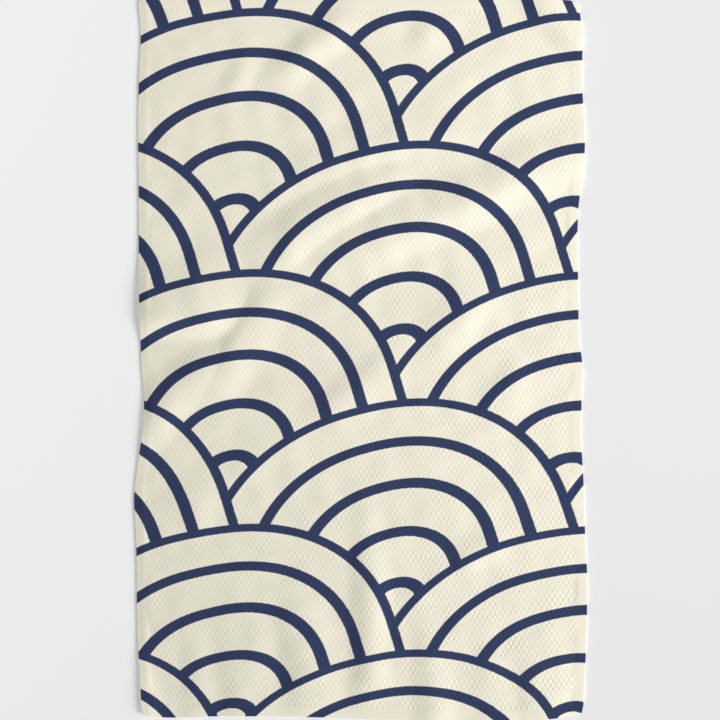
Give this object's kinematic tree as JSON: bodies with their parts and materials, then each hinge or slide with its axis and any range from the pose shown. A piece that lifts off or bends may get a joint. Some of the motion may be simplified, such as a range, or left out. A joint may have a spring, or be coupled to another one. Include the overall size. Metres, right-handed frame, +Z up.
{
  "type": "tea towel",
  "caption": "Waffle-cloth tea towel with a turned hem and a printed wave repeat, lying face up with low ridges in the cloth, for drying dishes.",
  "frame": {"origin": "middle of the towel's outline, on the surface it lies on", "axes": "+X across the towel to the viewer's right, +Y along its length, +Z up out of its printed face"},
  "size_m": [0.4674, 0.7448, 0.0068],
  "materials": {
    "cotton": "matt waffle weave"
  },
  "bodies": {
    "root": {"towel": "cotton"}
  },
  "joints": []
}
